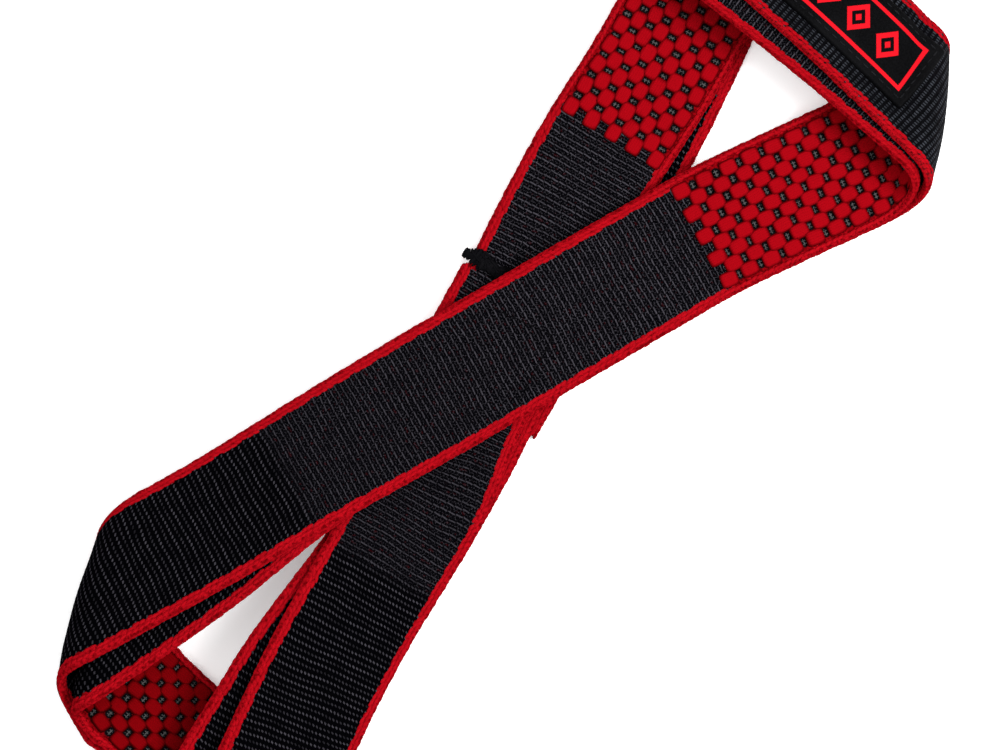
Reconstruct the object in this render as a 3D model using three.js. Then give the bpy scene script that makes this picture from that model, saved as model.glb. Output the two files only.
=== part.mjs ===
// A figure-eight lifting strap lying flat on a table, in millimetres.
// One long band of webbing goes twice round the figure eight. Its two strands cross in the middle,
// and each loop ends in a turn where the band folds over across a slanting crease.
// +X runs along the strap to the loop with the label, +Z is up, and the table is z = 0.
import * as THREE from 'three';

// Webbing
const strapWidth = 40;
const strapThickness = 2.4;
const plyGap = 0.5;
const selvageRound = 1.3;
const pitch = strapThickness + plyGap;
const floorPly = strapThickness / 2;

// The loop with the label: the band folds up and over, so its end turn lies above the strands
const upperReach = 141.3;
const upperFarEdge = 21;
const upperLipHeight = 27;
const upperRimHeight = 12;
const upperBow = 1.5;

// The other loop: the band folds down and under, so its end turn lies below the strands
const lowerReach = 156.8;
const lowerFarEdge = 28;
const lowerShoulderHeight = 29;
const lowerRimHeight = 16;
const lowerBow = 7.5;
const lowerEdgeDrop = 14;

// Crossing. Below it both plies of the B strand lie slipped aside, and the upper one gathers back.
const crossingHalf = 60;
const strandAngleA = 14.4;
const strandAngleB = 16.2;
const strandOffsetB = 5.6;
const slipB = -0.11 * strapWidth;
const gatherB = -0.3 * crossingHalf;

// Label patch and bar tack
const patchLength = 54;
const patchWidth = 25.6;
const patchThickness = 0.9;
const patchShift = 1;
const patchMargin = 0.2 * strapWidth;
const patchGap = 0.5;
const patchRowStep = 2.5;
const tackWidth = 6;
const tackThickness = 2;
const tackHook = 1.6;
const tackEdge = 0.5;
const fitGap = 0.35;

// The end turn's width in plan, less than the band's because the turn is tilted and hollow across.
// Its centre line bows outwards in the middle, by the loop's own angle, over turnBend.
const turnPlanWidth = 0.88 * strapWidth;
const turnHollow = 1.6;
const turnBend = 0.35 * strapWidth;

// How finely the band is faceted
const legStep = 10;
const foldSteps = 16;

// Each loop. way is +1 towards +X. The turn's hole edge and far edge have their own heights,
// and so has each strand where it meets the fold. All are heights of the outer ply's middle.
const loops = {
  upper: {
    name: 'upper',
    way: 1,
    reach: upperReach,
    farEdge: upperFarEdge,
    bow: upperBow,
    turnHole: upperLipHeight - floorPly,
    turnFar: upperRimHeight,
    strandA: floorPly + pitch,
    strandB: floorPly,
    edgeDrop: 0,
    strandWidth: strapWidth,
  },
  lower: {
    name: 'lower',
    way: -1,
    reach: lowerReach,
    farEdge: lowerFarEdge,
    bow: lowerBow,
    turnHole: floorPly,
    turnFar: lowerRimHeight,
    strandA: lowerShoulderHeight,
    strandB: lowerShoulderHeight - pitch,
    edgeDrop: lowerEdgeDrop,
    strandWidth: Math.sqrt(strapWidth ** 2 - lowerEdgeDrop ** 2),
  },
};

// One row for each pass of the band round a loop. shift is how far its end turn lies inside the
// outer pass, as a share of the width; lean is the turn's slant in degrees; spanA and spanB are
// where its strands aim on the turn, as shares of the loop's half span; slopeA and slopeB are the
// strands' angles to the X axis in degrees; insetA and insetB are how far its creases lie inside
// the outer pass's, as shares of the width.
const passes = [
  { loop: 'upper', ply: 0, shift: 0, lean: 2.6, spanA: 1.04, spanB: 1, slopeA: 19.5, slopeB: 21, insetA: 0, insetB: 0 },
  { loop: 'upper', ply: 1, shift: 0.15, lean: 6.1, spanA: 1, spanB: 0.94, slopeA: 19.5, slopeB: 16.7, insetA: 0.02, insetB: 0.02 },
  { loop: 'lower', ply: 0, shift: 0, lean: 0, spanA: 0.87, spanB: 1.19, slopeA: 16, slopeB: 21, insetA: 0, insetB: 0 },
  { loop: 'lower', ply: 1, shift: 0.05, lean: 0, spanA: 0.62, spanB: 0.905, slopeA: 10, slopeB: 16, insetA: 0.04, insetB: 0.04 },
];

// How far each fold's crease line sits back from the corner, in quarter turns of its mean depth,
// and how far its nose reaches past a round bend at the corner and at the tip, as shares of the width
const folds = {
  upperA: { setBack: 1, noseCorner: 0.01, noseTip: 0.14 },
  upperB: { setBack: 1, noseCorner: 0.01, noseTip: 0.14 },
  lowerA: { setBack: 1.32, noseCorner: 0.06, noseTip: 0.02 },
  lowerB: { setBack: 1, noseCorner: 0.08, noseTip: 0.06 },
};

// Heights of the lowest ply of each strand above the table, by the place along X.
// x is a share of the loop's reach on that side, z a count of plies or the loop's own height.
const heightsA = [
  { x: -0.62 * lowerReach, z: lowerShoulderHeight - pitch },
  { x: -0.16 * lowerReach, z: floorPly + 3 * pitch },
  { x: 0.22 * upperReach, z: floorPly + 3 * pitch },
  { x: 0.42 * upperReach, z: floorPly + 2 * pitch },
  { x: 0.58 * upperReach, z: floorPly + 2 * pitch },
  { x: 0.72 * upperReach, z: floorPly + pitch },
];
const heightsB = [
  { x: -0.74 * lowerReach, z: lowerShoulderHeight - 2 * pitch },
  { x: -0.18 * lowerReach, z: floorPly + pitch },
];

const radians = THREE.MathUtils.degToRad;
const lerp = THREE.MathUtils.lerp;
const clamp = THREE.MathUtils.clamp;

function planVector(degrees) {
  return new THREE.Vector2(Math.cos(radians(degrees)), Math.sin(radians(degrees)));
}

function leftOf(direction) {
  return new THREE.Vector2(-direction.y, direction.x);
}

function shifted(line, distance) {
  return { point: line.point.clone().addScaledVector(leftOf(line.along), distance), along: line.along };
}

// Distance along the first line to where it meets the second
function meet(first, second) {
  const cross = first.along.cross(second.along);
  const gap = second.point.clone().sub(first.point);
  return gap.cross(second.along) / cross;
}

function onLine(line, distance) {
  return line.point.clone().addScaledVector(line.along, distance);
}

// A value between two ends that leaves and arrives at given rates
function between(start, finish, leave, arrive, t) {
  const ends = start * (2 * t ** 3 - 3 * t ** 2 + 1) + finish * (3 * t ** 2 - 2 * t ** 3);
  return ends + leave * (t ** 3 - 2 * t ** 2 + t) + arrive * (t ** 3 - t ** 2);
}

function smooth(t) {
  const s = clamp(t, 0, 1);
  return s * s * (3 - 2 * s);
}

// Height at x from a table of knots, level at each knot and smooth between them
function heightAt(knots, x) {
  if (x <= knots[0].x) return knots[0].z;
  for (let i = 1; i < knots.length; i += 1) {
    const a = knots[i - 1];
    const b = knots[i];
    if (x <= b.x) return lerp(a.z, b.z, smooth((x - a.x) / (b.x - a.x)));
  }
  return knots[knots.length - 1].z;
}

// Shares of the width at which the band's middle surface is worked out, from port to starboard
const roundShare = selvageRound / strapWidth;
const columns = [0, roundShare, 0.14, 0.32, 0.5, 0.68, 0.84, 1 - roundShare, 1];

// The end turn's centre line of one pass in plan, at a distance y from the X axis, running to +Y
function turnKnot(loop, pass, y) {
  const bow = Math.tan(radians(loop.bow));
  const lean = Math.tan(radians(pass.lean));
  const round = Math.hypot(y, turnBend);
  const middle = loop.reach - pass.shift * strapWidth;
  const x = loop.way * (middle - bow * (round - turnBend)) - lean * y;
  const slope = -loop.way * bow * (y / round) - lean;
  return { point: new THREE.Vector2(x, y), along: new THREE.Vector2(slope, 1).normalize() };
}

// The straight line that the end turn's centre line comes to at a corner
function turnLine(loop, pass, strand) {
  return turnKnot(loop, pass, cornerSide(loop, strand) * strapWidth);
}

// Sign of y at a strand's corner of a loop
function cornerSide(loop, strand) {
  return strand === 'B' ? loop.way : -loop.way;
}

// Half the distance between a loop's two corners, so that the turn's far edge keeps its length
function halfSpan(loop, pass, strand) {
  const crease = radians((90 - pass[`slope${strand}`] - loop.bow) / 2);
  const back = setBack(loop, strand);
  return loop.farEdge / 2 + (back + (turnPlanWidth / 2) * Math.sin(crease)) / Math.cos(crease);
}

function setBack(loop, strand) {
  const shape = folds[loop.name + strand];
  const strandZ = loop[`strand${strand}`];
  const corner = Math.abs(loop.turnHole - (strandZ - loop.edgeDrop));
  const tip = Math.abs(loop.turnFar - strandZ);
  const radius = (corner + tip) / 4;
  const nose = (strapWidth * (shape.noseCorner + shape.noseTip)) / 2;
  return (shape.setBack * Math.PI * (radius + nose)) / 2;
}

// A strand's centre line where it meets the turn, running outwards
function strandLine(loop, pass, strand) {
  const side = cornerSide(loop, strand);
  const outer = passes.find((row) => row.loop === pass.loop && row.ply === 0);
  const span = halfSpan(loop, outer, strand) * pass[`span${strand}`];
  const slope = radians(pass[`slope${strand}`]);
  return {
    point: turnKnot(loop, pass, side * span).point,
    along: new THREE.Vector2(loop.way * Math.cos(slope), side * Math.sin(slope)),
  };
}

// The line that a fold bends about: its direction runs from the corner to the tip, out points away
// from the crossing. Both plies share it, apart from the inner ply's inset.
function creaseLine(loop, pass, strand) {
  const outer = passes.find((row) => row.loop === pass.loop && row.ply === 0);
  const side = cornerSide(loop, strand);
  const strandOuter = strandLine(loop, outer, strand);
  const inwards = turnLine(loop, outer, strand).along.clone().multiplyScalar(-side);
  const along = strandOuter.along.clone().add(inwards).normalize();
  const out = strandOuter.along.clone().sub(inwards).normalize();
  const back = setBack(loop, strand) + pass[`inset${strand}`] * strapWidth;
  return { point: strandOuter.point.clone().addScaledVector(out, -back), along, out };
}

// Height of the outer ply's turn above a point in plan: level at the hole, bent towards the rim
function turnHeight(loop, point) {
  const outer = passes.find((row) => loops[row.loop] === loop && row.ply === 0);
  const centre = turnKnot(loop, outer, point.y).point;
  const share = (loop.way * (point.x - centre.x)) / turnPlanWidth + 0.5;
  const bend = Math.max(share, 0) ** turnHollow;
  const slope = (turnHollow * (loop.turnFar - loop.turnHole) * Math.max(share, 0) ** (turnHollow - 1)) / turnPlanWidth;
  return { z: lerp(loop.turnHole, loop.turnFar, bend), stretch: Math.hypot(1, slope) };
}

function turnPoint(loop, pass, point) {
  const height = turnHeight(loop, point);
  const z = height.z - loop.way * pass.ply * pitch * height.stretch;
  return new THREE.Vector3(point.x, point.y, z);
}

// The rows of a fold, from the strand to the end turn. Each row is a list of points from port to
// starboard. Across the crease the band runs straight, then round a half circle, then straight.
function foldRows(loop, pass, strand) {
  const side = cornerSide(loop, strand);
  const shape = folds[pass.loop + strand];
  const crease = creaseLine(loop, pass, strand);
  const holeZ = loop[`strand${strand}`] + loop.way * pass.ply * pitch;
  const line = strandLine(loop, pass, strand);
  const turn = turnLine(loop, pass, strand);
  const half = loop.strandWidth / 2;
  const outward = loop.way * side;
  const ends = [half, -half].map((offset) => {
    const start = meet(crease, shifted(line, offset * outward));
    const edge = (turnPlanWidth / 2) * Math.sign(offset) * loop.way;
    const finish = meet(crease, shifted(turn, edge));
    return { start, finish };
  });
  const tipShare = (v) => clamp((v - ends[0].start) / (ends[1].finish - ends[0].start), 0, 1);
  const [leave, arrive] = [line.along, turn.along].map((way) => Math.abs(way.dot(crease.along) / way.dot(crease.out)));
  const rows = [];
  for (let step = 0; step <= foldSteps + 2; step += 1) {
    rows.push(columns.map((share) => {
      const start = lerp(ends[0].start, ends[1].start, share);
      const finish = lerp(ends[0].finish, ends[1].finish, share);
      const angle = clamp((step - 1) / foldSteps, 0, 1) * Math.PI;
      const middle = lerp(start, finish, angle / Math.PI);
      const nose = strapWidth * lerp(shape.noseCorner, shape.noseTip, tipShare(middle));
      const strandZ = holeZ - loop.edgeDrop * (1 - share);
      const depth = Math.abs(turnPoint(loop, pass, onLine(crease, middle)).z - strandZ);
      const length = 2 * nose + (Math.PI * depth) / 2;
      let travelled = nose + (depth * angle) / 2;
      if (step === 0) travelled = 0;
      if (step === foldSteps + 2) travelled = length;
      const v = between(start, finish, leave * length, arrive * length, travelled / length);
      const turnZ = turnPoint(loop, pass, onLine(crease, v)).z;
      const radius = Math.abs(turnZ - strandZ) / 2;
      const straight = step === 0 || step === foldSteps + 2;
      const reach = straight ? 0 : nose + radius * Math.sin(angle);
      const point = onLine(crease, v).addScaledVector(crease.out, reach);
      const z = (strandZ + turnZ) / 2 - Math.sign(turnZ - strandZ) * radius * Math.cos(angle);
      return new THREE.Vector3(point.x, point.y, z);
    }));
  }
  return loop.way > 0 ? rows : rows.map((row) => row.reverse());
}

// Where the plain stretch of a strand begins, clear of the fold's slanting rows
function gateDistance(loop, pass, strand) {
  const crease = creaseLine(loop, pass, strand);
  const line = strandLine(loop, pass, strand);
  const margin = 0.06 * strapWidth;
  const half = loop.strandWidth / 2;
  const edges = [half, -half].map((offset) => meet(shifted(line, offset), crease));
  return Math.min(...edges) - margin;
}

// The rows of an end turn between its two folds, running towards -Y
function turnRows(loop, pass) {
  const limits = ['A', 'B'].map((strand) => {
    const crease = creaseLine(loop, pass, strand);
    const turn = turnLine(loop, pass, strand);
    const side = cornerSide(loop, strand);
    const ends = [turnPlanWidth / 2, -turnPlanWidth / 2].map((offset) => {
      const edge = shifted(turn, offset);
      return side * onLine(edge, meet(edge, crease)).y;
    });
    return side * Math.min(...ends);
  });
  const high = Math.max(...limits);
  const low = Math.min(...limits);
  return [0.15, 0.5, 0.85].map((share) => {
    const knot = turnKnot(loop, pass, lerp(high, low, share));
    return columns.map((column) => {
      const point = knot.point.clone().addScaledVector(leftOf(knot.along), (0.5 - column) * turnPlanWidth);
      return turnPoint(loop, pass, point);
    });
  });
}

// How far the strands have risen towards the lower loop, from 0 at the crossing to 1 at its folds
function lowerLift(x) {
  const [high, low] = heightsA;
  return smooth((x - low.x) / (high.x - low.x));
}

// The rows of a strand through a list of knots, each a point in plan with a heading in degrees
function legRows(knots, heightOf) {
  const rows = [];
  knots.slice(1).forEach((knot, index) => {
    const from = knots[index];
    const chord = from.point.distanceTo(knot.point);
    const steps = Math.max(1, Math.round(chord / legStep));
    const last = index === knots.length - 2 ? steps : steps - 1;
    for (let step = 0; step <= last; step += 1) {
      const t = step / steps;
      const a = from.along.clone().multiplyScalar(chord);
      const b = knot.along.clone().multiplyScalar(chord);
      const centre = new THREE.Vector2()
        .addScaledVector(from.point, 2 * t ** 3 - 3 * t ** 2 + 1)
        .addScaledVector(a, t ** 3 - 2 * t ** 2 + t)
        .addScaledVector(knot.point, -2 * t ** 3 + 3 * t ** 2)
        .addScaledVector(b, t ** 3 - t ** 2);
      const along = new THREE.Vector2()
        .addScaledVector(from.point, 6 * t ** 2 - 6 * t)
        .addScaledVector(a, 3 * t ** 2 - 4 * t + 1)
        .addScaledVector(knot.point, -6 * t ** 2 + 6 * t)
        .addScaledVector(b, 3 * t ** 2 - 2 * t)
        .normalize();
      rows.push(columns.map((column) => {
        const width = lerp(strapWidth, loops.lower.strandWidth, lowerLift(centre.x));
        const point = centre.clone().addScaledVector(leftOf(along), (0.5 - column) * width);
        const drop = lowerEdgeDrop * column * lowerLift(point.x);
        return new THREE.Vector3(point.x, point.y, heightOf(point.x) - drop);
      }));
    }
  });
  return rows;
}

function reversed(knot) {
  return { point: knot.point, along: knot.along.clone().negate() };
}

function gateKnot(pass, strand) {
  const loop = loops[pass.loop];
  const line = strandLine(loop, pass, strand);
  return { point: onLine(line, gateDistance(loop, pass, strand)), along: line.along };
}

// Knots of the two strands at either side of the crossing, running towards +X. slip is to port.
function crossingKnot(strand, distance, slip = 0) {
  const angle = strand === 'A' ? -strandAngleA : strandAngleB;
  const y = strand === 'A' ? 0 : strandOffsetB;
  const along = planVector(angle);
  const point = new THREE.Vector2(0, y).addScaledVector(along, distance).addScaledVector(leftOf(along), slip);
  return { point, along };
}

const [upperOuter, upperInner, lowerOuter, lowerInner] = passes;

function wholeTurn(pass, fromStrand, toStrand) {
  const loop = loops[pass.loop];
  const before = foldRows(loop, pass, fromStrand);
  const after = foldRows(loop, pass, toStrand).reverse();
  return [...before, ...turnRows(loop, pass), ...after];
}

// The band's course, from the tail below the crossing to the end under the bar tack
const tailStart = -0.37 * crossingHalf;
const tailSlip = -0.13 * strapWidth;
const bandEnd = 0.22 * crossingHalf;

function tailKnot() {
  return crossingKnot('B', tailStart, tailSlip);
}

function bandRows() {
  const lowA = (x) => heightAt(heightsA, x);
  const highA = (x) => lowA(x) + pitch;
  const lowB = (x) => heightAt(heightsB, x);
  const highB = (x) => lowB(x) + pitch;
  const inwardA = reversed(crossingKnot('A', crossingHalf));
  const outwardA = reversed(crossingKnot('A', -crossingHalf));
  return [
    ...legRows([tailKnot(), gateKnot(upperOuter, 'B')], () => floorPly),
    ...wholeTurn(upperOuter, 'B', 'A'),
    ...legRows([reversed(gateKnot(upperOuter, 'A')), inwardA, outwardA, gateKnot(lowerInner, 'A')], lowA),
    ...wholeTurn(lowerInner, 'A', 'B'),
    ...legRows([
      reversed(gateKnot(lowerInner, 'B')),
      crossingKnot('B', -crossingHalf, slipB),
      crossingKnot('B', crossingHalf),
      gateKnot(upperInner, 'B'),
    ], lowB),
    ...wholeTurn(upperInner, 'B', 'A'),
    ...legRows([reversed(gateKnot(upperInner, 'A')), inwardA, outwardA, gateKnot(lowerOuter, 'A')], highA),
    ...wholeTurn(lowerOuter, 'A', 'B'),
    ...legRows([
      reversed(gateKnot(lowerOuter, 'B')),
      crossingKnot('B', -crossingHalf, slipB),
      crossingKnot('B', gatherB),
      crossingKnot('B', bandEnd),
    ], highB),
  ];
}

// The face normal at each point of a grid of rows, on the side that is up along the strands
function rowNormals(rows) {
  return rows.map((row, i) => row.map((point, j) => {
    const before = rows[Math.max(i - 1, 0)][j];
    const after = rows[Math.min(i + 1, rows.length - 1)][j];
    const port = row[Math.max(j - 1, 0)];
    const starboard = row[Math.min(j + 1, row.length - 1)];
    const along = after.clone().sub(before);
    const across = port.clone().sub(starboard);
    return along.cross(across).normalize();
  }));
}

// Triangles that close a thin curved section, taken in pairs from its two faces
function stripCap(size) {
  const triangles = [];
  for (let k = 0; k + 1 < size / 2; k += 1) {
    const across = size - 1 - k;
    triangles.push([k, k + 1, across], [k + 1, across - 1, across]);
  }
  return triangles;
}

// Triangles that close a section whose first point sees all the others
function fanCap(size) {
  const triangles = [];
  for (let k = 1; k + 1 < size; k += 1) triangles.push([0, k, k + 1]);
  return triangles;
}

// A closed solid from rings of equal length, with its ends capped
function solidFromRings(rings, cap) {
  const size = rings[0].length;
  const positions = rings.flat().flatMap((point) => point.toArray());
  const faces = [];
  for (let i = 0; i + 1 < rings.length; i += 1) {
    for (let k = 0; k < size; k += 1) {
      const a = i * size + k;
      const b = i * size + ((k + 1) % size);
      faces.push(a, b, a + size, b, b + size, a + size);
    }
  }
  const last = (rings.length - 1) * size;
  cap(size).forEach(([a, b, c]) => {
    faces.push(a, c, b);
    faces.push(last + a, last + b, last + c);
  });
  const geometry = new THREE.BufferGeometry();
  geometry.setAttribute('position', new THREE.Float32BufferAttribute(positions, 3));
  geometry.setIndex(faces);
  geometry.computeVertexNormals();
  return geometry;
}

const rows = bandRows();
const normals = rowNormals(rows);

// Rings of the band: up one face from port to starboard, round the selvage and back below
function bandRings() {
  const half = strapThickness / 2;
  const inner = columns.map((_, j) => j).slice(1, -1);
  return rows.map((row, i) => {
    const lifted = (j, distance) => row[j].clone().addScaledVector(normals[i][j], distance);
    const top = inner.map((j) => lifted(j, half));
    const bottom = inner.map((j) => lifted(j, -half)).reverse();
    return [row[0], ...top, row[row.length - 1], ...bottom];
  });
}

// A point of the band's middle surface and its normal, at a place along the rows (a row number with
// a fraction) and a share of the width, on the facets of the face that is down along the strands
function surfaceAt(place, share) {
  const i = clamp(Math.floor(place), 0, rows.length - 2);
  const next = columns.findIndex((column) => column >= share);
  const j = Math.max(next - 1, 0);
  const across = (share - columns[j]) / (columns[j + 1] - columns[j]);
  const onward = place - i;
  const mixed = (grid) => {
    const [near, far] = [grid[i], grid[i + 1]];
    const sideways = across >= onward ? near : far;
    const forwards = across >= onward ? j + 1 : j;
    return near[j].clone()
      .addScaledVector(sideways[j + 1].clone().sub(sideways[j]), across)
      .addScaledVector(far[forwards].clone().sub(near[forwards]), onward);
  };
  return { point: mixed(rows), normal: mixed(normals).normalize() };
}

// The place along the rows a given distance from a row, measured on the band at one share
function placeAlong(startRow, share, distance) {
  const step = Math.sign(distance) || 1;
  let place = startRow;
  let left = Math.abs(distance);
  while (place + step >= 0 && place + step <= rows.length - 1) {
    const length = surfaceAt(place, share).point.distanceTo(surfaceAt(place + step, share).point);
    if (length >= left) return place + (step * left) / length;
    left -= length;
    place += step;
  }
  return place;
}

// Row number of the middle of the outer upper end turn
const firstLegRows = legRows([tailKnot(), gateKnot(upperOuter, 'B')], () => floorPly).length;
const upperTurnRow = firstLegRows + foldSteps + 3 + 1;

// The label patch lies on the outer face of the upper end turn and follows it into both folds
function patchRings() {
  const rings = [];
  const steps = Math.round(patchLength / patchRowStep);
  const [near, far] = [patchMargin / strapWidth, (patchMargin + patchWidth) / strapWidth];
  const shares = [near, ...columns.filter((column) => column > near + roundShare && column < far - roundShare), far];
  const under = -(strapThickness / 2 + patchGap);
  const top = under - patchThickness;
  for (let i = 0; i <= steps; i += 1) {
    const distance = (i / steps - 0.5) * patchLength - patchShift;
    const spots = shares.map((share) => surfaceAt(placeAlong(upperTurnRow, share, distance), share));
    const lift = (spot, height) => spot.point.clone().addScaledVector(spot.normal, height);
    rings.push([...spots.map((spot) => lift(spot, under)), ...spots.reverse().map((spot) => lift(spot, top))]);
  }
  return rings;
}

// The bar tack is a stitched ridge across the strand just past the band's cut end. It lies on the
// ply below, and its end hooks down over that strand's edge.
function tackRings() {
  const low = floorPly + pitch + strapThickness / 2 + fitGap;
  const high = low + tackThickness;
  const edge = strapWidth / 2 + fitGap;
  const profile = [
    [edge, low],
    [edge, tackEdge],
    [edge + tackHook, tackEdge + tackHook / 3],
    [edge + tackHook, high - tackHook / 2],
    [edge + tackHook / 2, high],
    [-strapWidth / 2 + tackEdge, high],
    [-strapWidth / 2, high - tackEdge],
    [-strapWidth / 2, low],
  ];
  return [0, tackWidth].map((distance) => {
    const knot = crossingKnot('B', bandEnd + fitGap + distance);
    return profile.map(([side, z]) => {
      const point = knot.point.clone().addScaledVector(leftOf(knot.along), side);
      return new THREE.Vector3(point.x, point.y, z);
    });
  });
}

function material(colour, roughness) {
  return new THREE.MeshStandardMaterial({ color: colour, roughness, metalness: 0 });
}

function piece(name, geometry, look) {
  const mesh = new THREE.Mesh(geometry, look);
  mesh.name = name;
  return mesh;
}

const strap = new THREE.Group();
strap.add(piece('webbing', solidFromRings(bandRings(), stripCap), material(0x17171a, 0.85)));
strap.add(piece('label_patch', solidFromRings(patchRings(), stripCap), material(0x0c0c0e, 0.6)));
strap.add(piece('bar_tack', solidFromRings(tackRings(), fanCap), material(0x101013, 0.9)));

const box = new THREE.Box3().setFromObject(strap);
strap.position.set(-(box.min.x + box.max.x) / 2, -(box.min.y + box.max.y) / 2, -box.min.z);

export default strap;
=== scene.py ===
import math
from collections import namedtuple

import bpy
import numpy as np
from mathutils import Euler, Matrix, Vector


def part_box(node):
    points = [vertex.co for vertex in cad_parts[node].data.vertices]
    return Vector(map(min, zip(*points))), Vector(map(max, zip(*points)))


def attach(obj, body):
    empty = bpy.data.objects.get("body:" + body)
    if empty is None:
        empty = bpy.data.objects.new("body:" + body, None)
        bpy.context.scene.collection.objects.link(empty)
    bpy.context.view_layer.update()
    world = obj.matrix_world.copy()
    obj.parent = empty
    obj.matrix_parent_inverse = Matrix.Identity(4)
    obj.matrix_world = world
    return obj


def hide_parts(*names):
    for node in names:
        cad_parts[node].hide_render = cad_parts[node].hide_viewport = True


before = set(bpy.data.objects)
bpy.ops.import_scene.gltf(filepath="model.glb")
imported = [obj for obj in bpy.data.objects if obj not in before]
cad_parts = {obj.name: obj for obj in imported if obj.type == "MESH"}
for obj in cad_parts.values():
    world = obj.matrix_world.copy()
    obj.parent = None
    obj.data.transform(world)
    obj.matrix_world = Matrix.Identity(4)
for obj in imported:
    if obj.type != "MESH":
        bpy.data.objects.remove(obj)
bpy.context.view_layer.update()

# The band's sizes, as in the part's source
WIDTH = 40.0
THICK = 2.4
PLY_GAP = 0.5
PITCH = THICK + PLY_GAP
FLOOR_PLY = THICK / 2
SELVAGE_ROUND = 1.3
CROSSING_HALF = 60.0
STRAND_ANGLE_A = 14.4
STRAND_ANGLE_B = 16.2
STRAND_OFFSET_B = 5.6
SLIP_B = -0.11 * WIDTH
GATHER_B = -0.3 * CROSSING_HALF
TURN_WIDTH = 0.88 * WIDTH
TURN_HOLLOW = 1.6
TURN_BEND = 0.35 * WIDTH
LOWER_TILT = 14.0
LEG_STEP = 10.0
FOLD_STEPS = 16

# A loop: its way along X, its reach, the length of its far edge, its bow in degrees, the turn's
# heights at the hole and the far edge, and the strands' heights, tilt and width in plan
Loop = namedtuple("Loop", "way reach far_edge bow turn_hole turn_far strand_z tilt strand_width")
# A pass of the band round a loop: its ply, its shift in widths, its lean in degrees, and for each
# strand its share of the span, its slope in degrees and its inset in widths
Pass = namedtuple("Pass", "loop ply shift lean span slope inset")
# A fold: a factor on its set-back, and how far its nose stands out at each end, in widths
Fold = namedtuple("Fold", "set_back nose_corner nose_tip")

UPPER = Loop(1, 141.3, 21.0, 1.5, 27.0 - FLOOR_PLY, 12.0,
             {"A": FLOOR_PLY + PITCH, "B": FLOOR_PLY}, 0.0, WIDTH)
LOWER = Loop(-1, 156.8, 28.0, 7.5, FLOOR_PLY, 16.0,
             {"A": 29.0, "B": 29.0 - PITCH}, LOWER_TILT, math.sqrt(WIDTH**2 - LOWER_TILT**2))
UPPER_OUTER = Pass(UPPER, 0, 0.0, 2.6,
                   {"A": 1.04, "B": 1.0}, {"A": 19.5, "B": 21.0}, {"A": 0.0, "B": 0.0})
UPPER_INNER = Pass(UPPER, 1, 0.15, 6.1,
                   {"A": 1.0, "B": 0.94}, {"A": 19.5, "B": 16.7}, {"A": 0.02, "B": 0.02})
LOWER_OUTER = Pass(LOWER, 0, 0.0, 0.0,
                   {"A": 0.87, "B": 1.19}, {"A": 16.0, "B": 21.0}, {"A": 0.0, "B": 0.0})
LOWER_INNER = Pass(LOWER, 1, 0.05, 0.0,
                   {"A": 0.62, "B": 0.905}, {"A": 10.0, "B": 16.0}, {"A": 0.04, "B": 0.04})
FOLDS = {
    (1, "A"): Fold(1.0, 0.01, 0.14),
    (1, "B"): Fold(1.0, 0.01, 0.14),
    (-1, "A"): Fold(1.32, 0.06, 0.02),
    (-1, "B"): Fold(1.0, 0.08, 0.06),
}
HEIGHTS_A = [
    (-0.62 * LOWER.reach, 29.0 - PITCH),
    (-0.16 * LOWER.reach, FLOOR_PLY + 3 * PITCH),
    (0.22 * UPPER.reach, FLOOR_PLY + 3 * PITCH),
    (0.42 * UPPER.reach, FLOOR_PLY + 2 * PITCH),
    (0.58 * UPPER.reach, FLOOR_PLY + 2 * PITCH),
    (0.72 * UPPER.reach, FLOOR_PLY + PITCH),
]
HEIGHTS_B = [
    (-0.74 * LOWER.reach, 29.0 - 2 * PITCH),
    (-0.18 * LOWER.reach, FLOOR_PLY + PITCH),
]
TAIL_START = -0.37 * CROSSING_HALF
TAIL_SLIP = -0.13 * WIDTH
BAND_END = 0.22 * CROSSING_HALF
COLUMNS = [0, SELVAGE_ROUND / WIDTH, 0.14, 0.32, 0.5, 0.68, 0.84, 1 - SELVAGE_ROUND / WIDTH, 1]


# Plan geometry of the band's course. Plan points and headings are complex numbers, x + iy.
def unit(v):
    return v / abs(v)


def dot(a, b):
    return (a * b.conjugate()).real


def crossed(a, b):
    return (a.conjugate() * b).imag


def meet(first, second):
    """Distance along the first line to where it meets the second. A line is a point and a heading."""
    return crossed(second[0] - first[0], second[1]) / crossed(first[1], second[1])


def aside(line, distance):
    return line[0] + 1j * line[1] * distance, line[1]


def lerp(a, b, t):
    return a + (b - a) * t


def clamp(x, low=0.0, high=1.0):
    return min(max(x, low), high)


def smooth(t):
    t = clamp(t)
    return t * t * (3 - 2 * t)


def hermite(start, finish, leave, arrive, t):
    ends = start * (2 * t**3 - 3 * t**2 + 1) + finish * (3 * t**2 - 2 * t**3)
    return ends + leave * (t**3 - 2 * t**2 + t) + arrive * (t**3 - t**2)


def height_at(knots, x):
    """Height from a table of knots, level at each knot and smooth between them."""
    if x <= knots[0][0]:
        return knots[0][1]
    for (x0, z0), (x1, z1) in zip(knots, knots[1:]):
        if x <= x1:
            return lerp(z0, z1, smooth((x - x0) / (x1 - x0)))
    return knots[-1][1]


def outer_of(loop):
    return UPPER_OUTER if loop.way > 0 else LOWER_OUTER


def turn_knot(run, y):
    """An end turn's centre line in plan, at a distance y from the X axis, running to +Y."""
    loop = run.loop
    bow, lean = (math.tan(math.radians(angle)) for angle in (loop.bow, run.lean))
    bend = math.hypot(y, TURN_BEND)
    x = loop.way * (loop.reach - run.shift * WIDTH - bow * (bend - TURN_BEND)) - lean * y
    return complex(x, y), unit(complex(-loop.way * bow * y / bend - lean, 1))


def corner_side(loop, strand):
    return loop.way if strand == "B" else -loop.way


def turn_line(run, strand):
    return turn_knot(run, corner_side(run.loop, strand) * WIDTH)


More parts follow.
